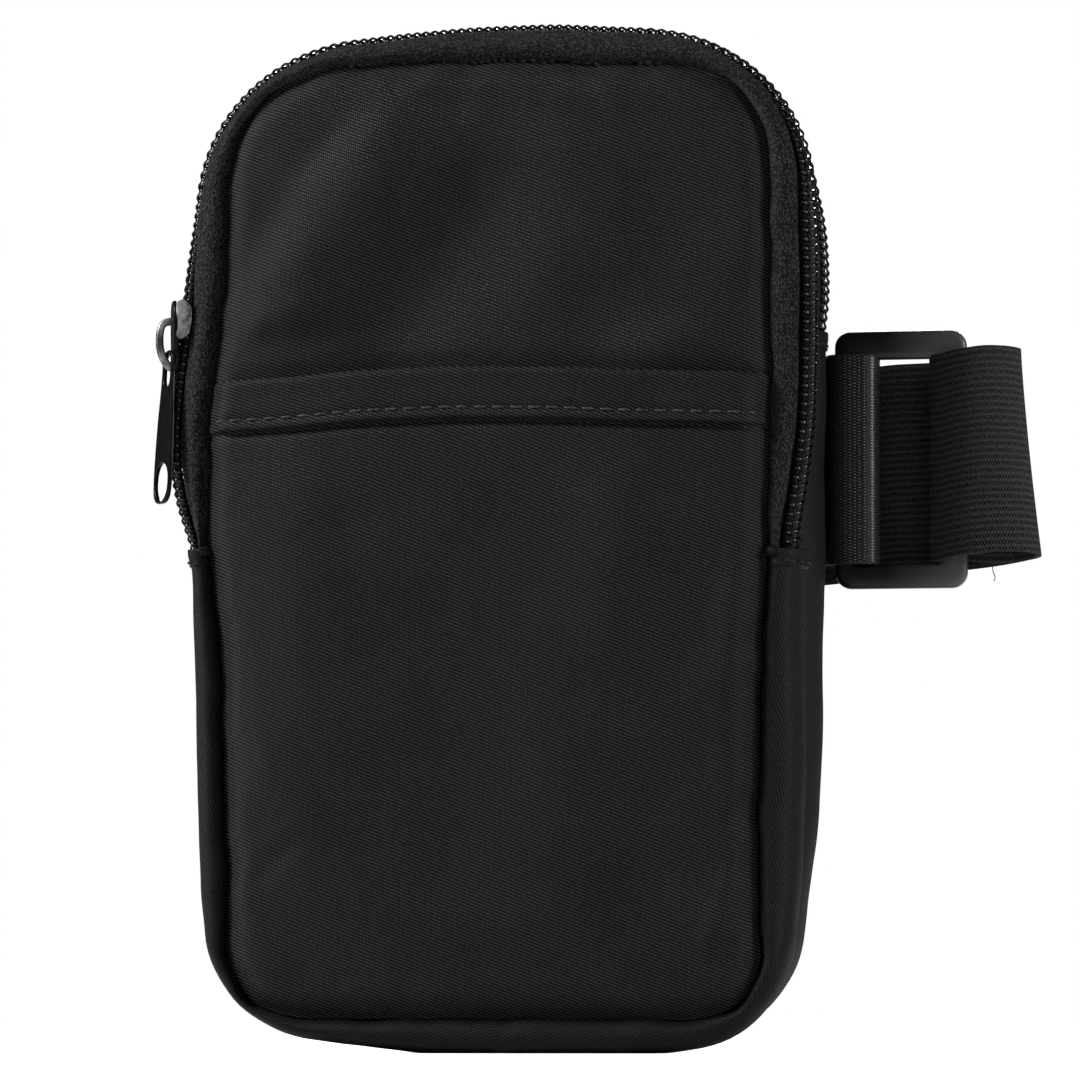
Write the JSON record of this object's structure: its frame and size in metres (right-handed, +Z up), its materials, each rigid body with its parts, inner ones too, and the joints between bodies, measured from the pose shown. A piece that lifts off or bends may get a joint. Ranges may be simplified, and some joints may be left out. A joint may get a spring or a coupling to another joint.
{
  "type": "water bottle armband pouch",
  "caption": "Soft black armband pouch with zipped compartments, a slip pocket, and an elastic strap through a rectangular ring.",
  "frame": {"origin": "middle of the flat under the front lobe", "axes": "+Z up, the front faces -Y, the strap ring is towards +X"},
  "size_m": [0.1585, 0.0407, 0.187],
  "materials": {
    "nylon_twill": "black nylon twill with a soft sheen",
    "zip_tape": "matte black woven polyester tape",
    "nylon_coil": "glossy black nylon coil",
    "slider_enamel": "black enamel on die-cast zinc, satin",
    "puller_gloss": "gloss black enamel on zinc",
    "ring_plastic": "satin black moulded acetal",
    "webbing_nylon": "black ribbed nylon webbing, slightly shiny",
    "elastic_knit": "matte black ribbed elastic",
    "lining_cloth": "black lining cloth over foam",
    "hook_tape": "black hook tape"
  },
  "bodies": {
    "pouch": {"front_panel_lower": "nylon_twill", "pocket_panel_lower": "nylon_twill", "front_gusset": "nylon_twill", "front_hem_left": "nylon_twill", "front_hem_right": "nylon_twill", "front_zip_divider_tape": "zip_tape", "front_zip_divider_coil": "nylon_coil", "divider_panel": "lining_cloth", "rear_zip_divider_tape": "zip_tape", "rear_zip_divider_coil": "nylon_coil", "rear_gusset": "nylon_twill", "rear_hem_left": "nylon_twill", "rear_hem_right": "nylon_twill", "back_panel_lower": "nylon_twill", "webbing_tab": "webbing_nylon", "elastic_strap_back": "elastic_knit"},
    "front_flap": {"front_panel_upper": "nylon_twill", "pocket_panel_upper": "nylon_twill", "pocket_facing": "nylon_twill", "front_zip_panel_tape": "zip_tape", "front_zip_panel_coil": "nylon_coil"},
    "rear_flap": {"back_panel_upper": "nylon_twill", "rear_zip_panel_tape": "zip_tape", "rear_zip_panel_coil": "nylon_coil"},
    "front_slider": {"front_slider": "slider_enamel", "front_slider_bridge": "slider_enamel"},
    "front_puller": {"front_puller": "puller_gloss"},
    "rear_slider": {"rear_slider": "slider_enamel", "rear_slider_bridge": "slider_enamel"},
    "rear_puller": {"rear_puller": "puller_gloss"},
    "strap_ring": {"strap_ring": "ring_plastic", "elastic_strap_end": "elastic_knit", "strap_hook_patch": "hook_tape"}
  },
  "joints": [
    {"name": "front_flap_fold", "type": "hinge", "parent": "pouch", "child": "front_flap", "pos_m": [0, -0.0105, 0.0919], "axis": [1, 0, 0], "range_deg": [0, 80], "deforming": ["front_zip_panel_tape", "front_zip_panel_coil"]},
    {"name": "rear_flap_fold", "type": "hinge", "parent": "pouch", "child": "rear_flap", "pos_m": [0, 0.025, 0.1318], "axis": [-1, 0, 0], "range_deg": [0, 80], "deforming": ["rear_zip_panel_tape", "rear_zip_panel_coil"]},
    {"name": "front_slider_slide", "type": "slide", "parent": "pouch", "child": "front_slider", "axis": [0, 0, 1], "range_m": [-0.0305, 0.0195], "deforming": ["front_zip_divider_tape", "front_zip_divider_coil"]},
    {"name": "front_puller_swing", "type": "hinge", "parent": "front_slider", "child": "front_puller", "pos_m": [-0.06172, -0.0031, 0.1288], "axis": [-0.3223, 0.9466, 0], "range_deg": [0, 140]},
    {"name": "rear_slider_slide", "type": "slide", "parent": "pouch", "child": "rear_slider", "axis": [0, 0, 1], "range_m": [0, 0.01], "deforming": ["rear_zip_divider_tape", "rear_zip_divider_coil"]},
    {"name": "rear_puller_swing", "type": "hinge", "parent": "rear_slider", "child": "rear_puller", "pos_m": [-0.06172, 0.0201, 0.1383], "axis": [0.3223, 0.9466, 0], "range_deg": [0, 140]},
    {"name": "ring_swing", "type": "hinge", "parent": "pouch", "child": "strap_ring", "pos_m": [0.0599, 0.0218, 0.1086], "axis": [0, 0, 1], "range_deg": [-20, 30]}
  ]
}
